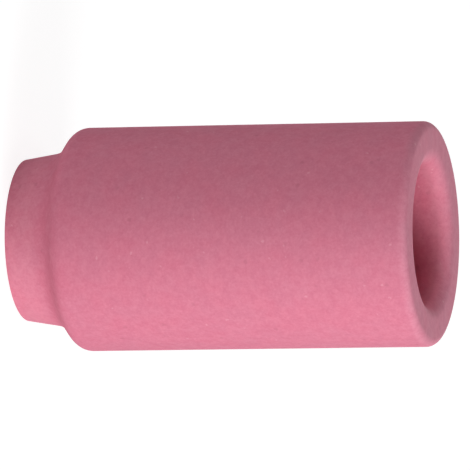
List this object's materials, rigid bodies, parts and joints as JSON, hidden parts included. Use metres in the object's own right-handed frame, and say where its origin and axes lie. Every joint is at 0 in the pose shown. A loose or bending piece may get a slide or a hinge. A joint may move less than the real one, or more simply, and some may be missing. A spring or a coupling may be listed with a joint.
{
  "type": "tig torch gas nozzle",
  "caption": "Long straight ceramic gas nozzle for a TIG welding torch, with a tapered, internally threaded rear collar, a rounded shoulder and an open round mouth.",
  "frame": {"origin": "centre of the rear face of the collar, on which the nozzle stands", "axes": "+Z along the nozzle's axis from the rear face towards the mouth; X and Y are alike on the outside, and the thread's groove leaves the rear face about the +X side"},
  "size_m": [0.0254, 0.0254, 0.0476],
  "materials": {
    "alumina": "unglazed, fine-grained, matt"
  },
  "bodies": {
    "root": {"gas_nozzle": "alumina"}
  },
  "joints": []
}
